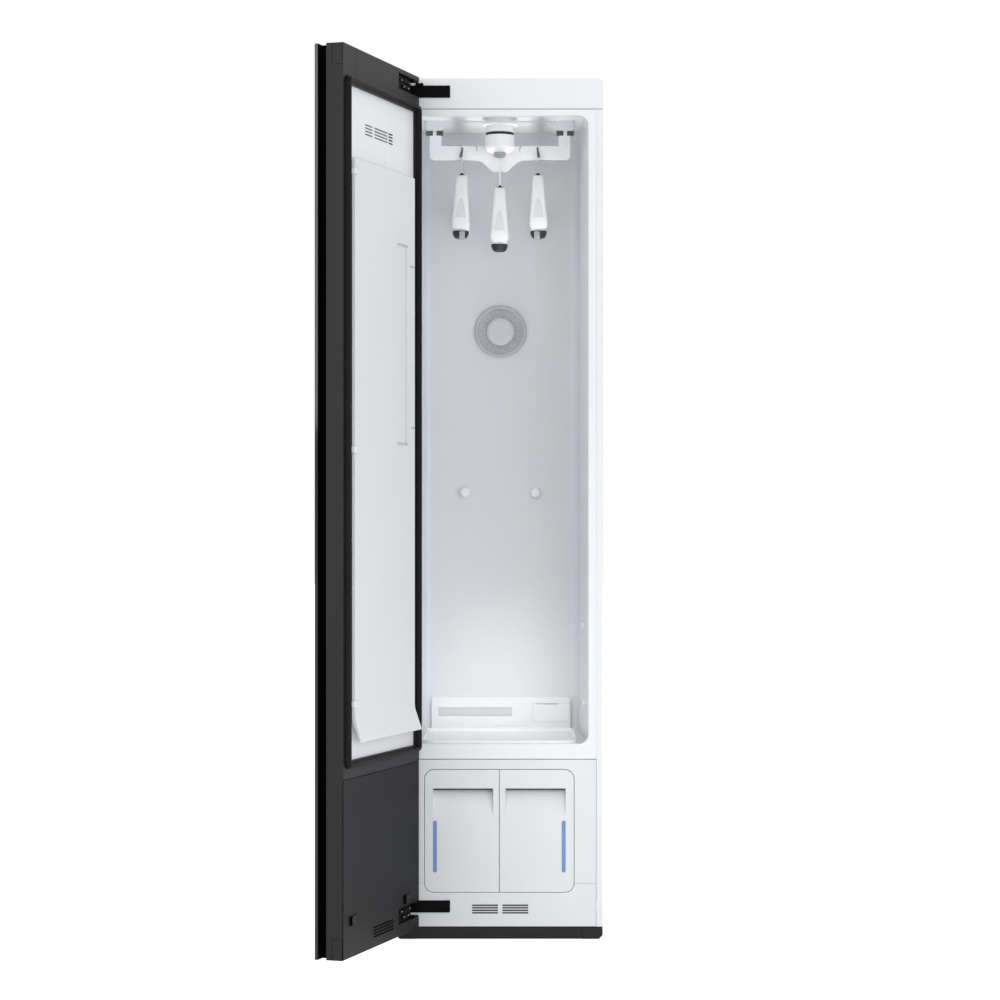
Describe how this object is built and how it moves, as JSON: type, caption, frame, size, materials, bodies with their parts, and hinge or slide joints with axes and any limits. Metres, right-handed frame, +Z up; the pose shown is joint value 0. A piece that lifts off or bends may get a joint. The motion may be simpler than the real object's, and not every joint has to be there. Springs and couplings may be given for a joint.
{
  "type": "clothes care steam cabinet",
  "caption": "Tall narrow steam cabinet with a side-hinged door, a shaking hanger bar, a turning middle hook and slide-out water tanks.",
  "frame": {"origin": "on the floor, at the centre between the four levelling feet", "axes": "+Z up, +X to the right as the user faces the cabinet, the front looks along -Y"},
  "size_m": [0.5863, 0.9805, 1.85],
  "materials": {
    "white_steel": "smooth powder coat",
    "white_plastic": "satin moulded",
    "liner_plastic": "satin vacuum-formed",
    "galvanised": "plain galvanised",
    "black_plastic": "fine grain",
    "foam": "expanded foam",
    "door_core": "dark coated shell round foam",
    "door_glass": "tinted, glossy",
    "door_dark": "satin dark grey",
    "seal_rubber": "soft matt",
    "press_white": "light sandwich panel, satin",
    "hinge_steel": "black coated",
    "rod_steel": "bright steel",
    "tank_plastic": "translucent",
    "grey_plastic": "satin",
    "compressor_steel": "black enamel",
    "fin_aluminium": "plain",
    "hose_rubber": "silicone"
  },
  "bodies": {
    "cabinet": {"side_panel_left": "white_steel", "side_panel_right": "white_steel", "top_cover": "white_plastic", "back_panel": "galvanised", "base_pan": "black_plastic", "kick_plate": "black_plastic", "levelling_feet": "black_plastic", "inner_liner": "liner_plastic", "wall_insulation": "foam", "tank_surround": "white_plastic", "tank_bay": "white_plastic", "lower_front_panel": "white_plastic", "upper_hinge_bracket": "hinge_steel", "lower_hinge_bracket": "hinge_steel", "hinge_hole_cover": "white_plastic", "outlet_ring": "white_plastic", "outlet_disc": "white_plastic", "shelf_pegs": "liner_plastic", "shelf_clips": "liner_plastic", "rear_duct_cover": "white_plastic", "steam_nozzle": "white_plastic", "floor_tray": "white_plastic", "bar_guides": "black_plastic", "twist_housing": "white_plastic", "twist_drive": "black_plastic", "shake_motor": "grey_plastic", "compressor": "compressor_steel", "heat_exchangers": "fin_aluminium", "blower_housing": "grey_plastic", "blower_motor": "grey_plastic", "air_duct": "grey_plastic", "steam_generator": "grey_plastic", "steam_hose": "hose_rubber", "water_pumps": "grey_plastic", "control_board": "white_plastic", "power_inlet": "black_plastic"},
    "door": {"door_glass": "door_glass", "door_frame": "door_core", "door_liner": "white_plastic", "door_gasket": "seal_rubber", "door_lower_panel": "door_dark", "door_corner_caps": "door_dark", "door_hinge_plates": "hinge_steel"},
    "press_leaf": {"press_plate": "press_white"},
    "shaking_bar": {"hanger_bar": "white_plastic"},
    "crank": {"shake_crank": "rod_steel"},
    "left_hanger": {"hanger_left": "white_plastic", "hanger_left_fittings": "black_plastic"},
    "right_hanger": {"hanger_right": "white_plastic", "hanger_right_fittings": "black_plastic"},
    "collar": {"twist_collar": "grey_plastic"},
    "middle_hanger": {"hanger_middle": "white_plastic", "hanger_middle_fittings": "black_plastic"},
    "supply_drawer": {"supply_tank": "tank_plastic", "supply_tank_front": "white_plastic"},
    "drain_drawer": {"drain_tank": "tank_plastic", "drain_tank_front": "white_plastic"},
    "aroma_drawer": {"aroma_holder": "white_plastic"},
    "fan_wheel": {"blower_wheel": "grey_plastic"}
  },
  "joints": [
    {"name": "door_swing", "type": "hinge", "parent": "cabinet", "child": "door", "pos_m": [-0.203, -0.2955, 0.95], "axis": [0, 0, -1], "range_deg": [-107.7, 7.3]},
    {"name": "press_plate_swing", "type": "hinge", "parent": "door", "child": "press_leaf", "pos_m": [-0.28681, -0.66501, 1.042], "axis": [0, 0, -1], "range_deg": [0, 90]},
    {"name": "bar_shake", "type": "slide", "parent": "cabinet", "child": "shaking_bar", "axis": [1, 0, 0], "range_m": [-0.013, 0.013]},
    {"name": "crank_turn", "type": "hinge", "parent": "cabinet", "child": "crank", "pos_m": [0, 0.019, 1.812], "axis": [0, 0, -1], "range_deg": [-91, 91]},
    {"name": "left_hanger_swing", "type": "hinge", "parent": "shaking_bar", "child": "left_hanger", "pos_m": [-0.085, -0.021, 1.7235], "axis": [-1, 0, 0], "range_deg": [-5, 5]},
    {"name": "right_hanger_swing", "type": "hinge", "parent": "shaking_bar", "child": "right_hanger", "pos_m": [0.085, -0.021, 1.7235], "axis": [-1, 0, 0], "range_deg": [-5, 5]},
    {"name": "collar_twist", "type": "hinge", "parent": "cabinet", "child": "collar", "pos_m": [0, -0.064, 1.7163], "axis": [0, 0, 1], "range_deg": [-8, 8]},
    {"name": "middle_hanger_swing", "type": "hinge", "parent": "collar", "child": "middle_hanger", "pos_m": [0, -0.064, 1.7085], "axis": [-1, 0, 0], "range_deg": [-5, 5]},
    {"name": "supply_tank_slide", "type": "slide", "parent": "cabinet", "child": "supply_drawer", "axis": [0, -1, 0], "range_m": [0, 0.2]},
    {"name": "drain_tank_slide", "type": "slide", "parent": "cabinet", "child": "drain_drawer", "axis": [0, -1, 0], "range_m": [0, 0.2]},
    {"name": "aroma_holder_slide", "type": "slide", "parent": "cabinet", "child": "aroma_drawer", "axis": [0, -1, 0], "range_m": [0, 0.045]},
    {"name": "fan_spin", "type": "hinge", "parent": "cabinet", "child": "fan_wheel", "pos_m": [-0.04, 0.199, 0.29], "axis": [0, 1, 0], "continuous": true}
  ],
  "couplings": [
    {"joint": "crank_turn", "follows": "bar_shake", "rad_per_m": 120.83}
  ]
}
